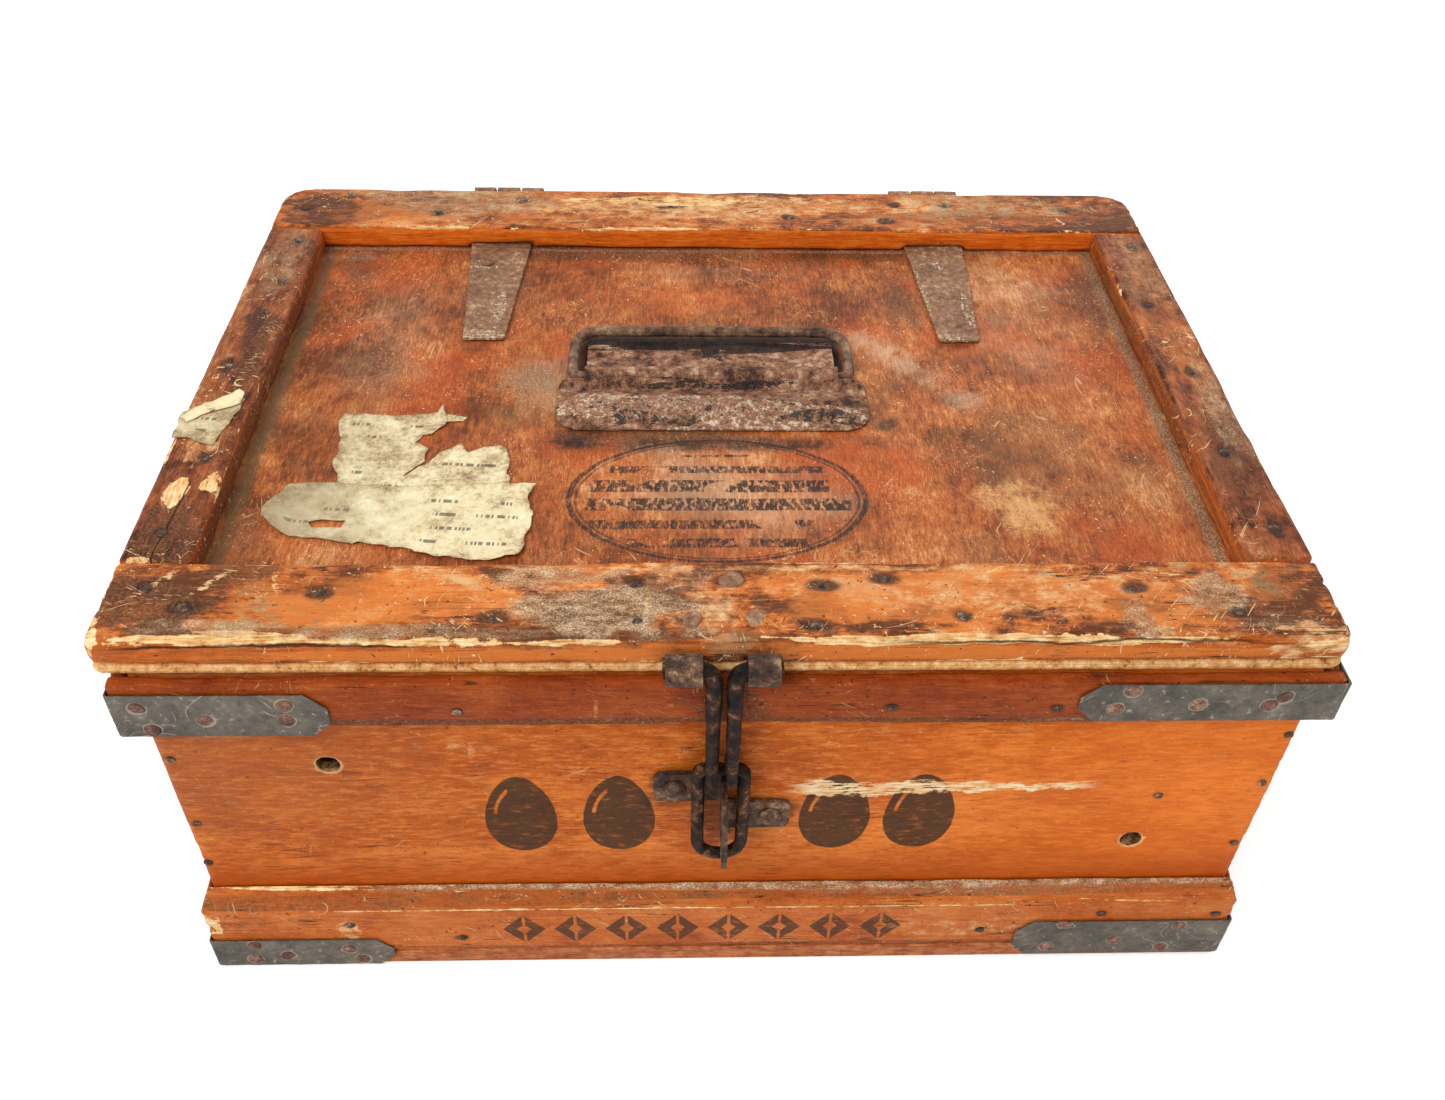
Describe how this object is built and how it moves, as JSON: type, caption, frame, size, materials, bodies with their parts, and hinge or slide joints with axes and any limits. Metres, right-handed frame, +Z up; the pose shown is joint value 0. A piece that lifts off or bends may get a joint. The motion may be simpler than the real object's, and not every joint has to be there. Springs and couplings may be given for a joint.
{
  "type": "wooden egg crate",
  "caption": "Battened wooden crate with a hinged framed lid, a drop handle, a rod hasp on a staple, and half-lapped egg dividers inside.",
  "frame": {"origin": "centre of the underside, on the surface that the crate stands on", "axes": "+X along the front from left to right, +Y from the hasp to the hinges, +Z up"},
  "size_m": [0.4725, 0.3866, 0.2108],
  "materials": {
    "front_pine": "old orange varnish, worn",
    "bare_pine": "bare, dirty",
    "batten_pine": "old red-brown varnish, worn at the edges",
    "plywood": "red-brown varnish, dusty",
    "strawboard": "raw grey-brown strawboard",
    "galvanised_plate": "dull galvanised sheet",
    "rusty_iron": "brown rust with flakes of black paint",
    "black_iron": "near-black, rubbed"
  },
  "bodies": {
    "box": {"front_board": "front_pine", "back_board": "front_pine", "left_end_board": "front_pine", "right_end_board": "front_pine", "bottom_board": "bare_pine", "top_batten_front": "batten_pine", "top_batten_back": "batten_pine", "top_batten_left": "batten_pine", "top_batten_right": "batten_pine", "foot_batten_front": "batten_pine", "foot_batten_back": "batten_pine", "foot_batten_left": "batten_pine", "foot_batten_right": "batten_pine", "bottom_pad": "strawboard", "cross_divider_1": "strawboard", "cross_divider_2": "strawboard", "cross_divider_3": "strawboard", "cross_divider_4": "strawboard", "cross_divider_5": "strawboard", "cross_divider_6": "strawboard", "cross_divider_7": "strawboard", "long_divider_1": "strawboard", "long_divider_2": "strawboard", "long_divider_3": "strawboard", "long_divider_4": "strawboard", "long_divider_5": "strawboard", "corner_plate_top_front_left": "galvanised_plate", "corner_plate_top_front_right": "galvanised_plate", "corner_plate_top_back_left": "galvanised_plate", "corner_plate_top_back_right": "galvanised_plate", "corner_plate_foot_front_left": "galvanised_plate", "corner_plate_foot_front_right": "galvanised_plate", "corner_plate_foot_back_left": "galvanised_plate", "corner_plate_foot_back_right": "galvanised_plate", "hinge_leaf_left": "rusty_iron", "hinge_leaf_right": "rusty_iron", "hinge_pin_left": "rusty_iron", "hinge_pin_right": "rusty_iron", "hasp_staple": "rusty_iron", "staple_screw_left": "rusty_iron", "staple_screw_right": "rusty_iron"},
    "lid": {"lid_panel": "plywood", "lid_rail_front": "batten_pine", "lid_rail_back": "batten_pine", "lid_rail_left": "batten_pine", "lid_rail_right": "batten_pine", "hinge_strap_left": "rusty_iron", "hinge_strap_right": "rusty_iron", "handle_plate": "rusty_iron", "hasp_strap_left": "black_iron", "hasp_strap_right": "black_iron"},
    "hasp": {"hasp_rod_left": "black_iron", "hasp_rod_right": "black_iron"},
    "link": {"hasp_link": "black_iron"},
    "bail": {"handle_bail": "rusty_iron"}
  },
  "joints": [
    {"name": "lid_hinge", "type": "hinge", "parent": "box", "child": "lid", "pos_m": [-0.003, 0.1833, 0.2028], "axis": [-1, 0, 0], "range_deg": [0, 180]},
    {"name": "hasp_swing", "type": "hinge", "parent": "lid", "child": "hasp", "pos_m": [-0.0045, -0.1825, 0.2043], "axis": [-1, 0, 0], "range_deg": [0, 180]},
    {"name": "link_swing", "type": "hinge", "parent": "hasp", "child": "link", "pos_m": [-0.0045, -0.1801, 0.1445], "axis": [-1, 0, 0], "range_deg": [0, 115]},
    {"name": "handle_swing", "type": "hinge", "parent": "lid", "child": "bail", "pos_m": [-0.0055, 0.008, 0.2009], "axis": [1, 0, 0], "range_deg": [0, 105]}
  ]
}
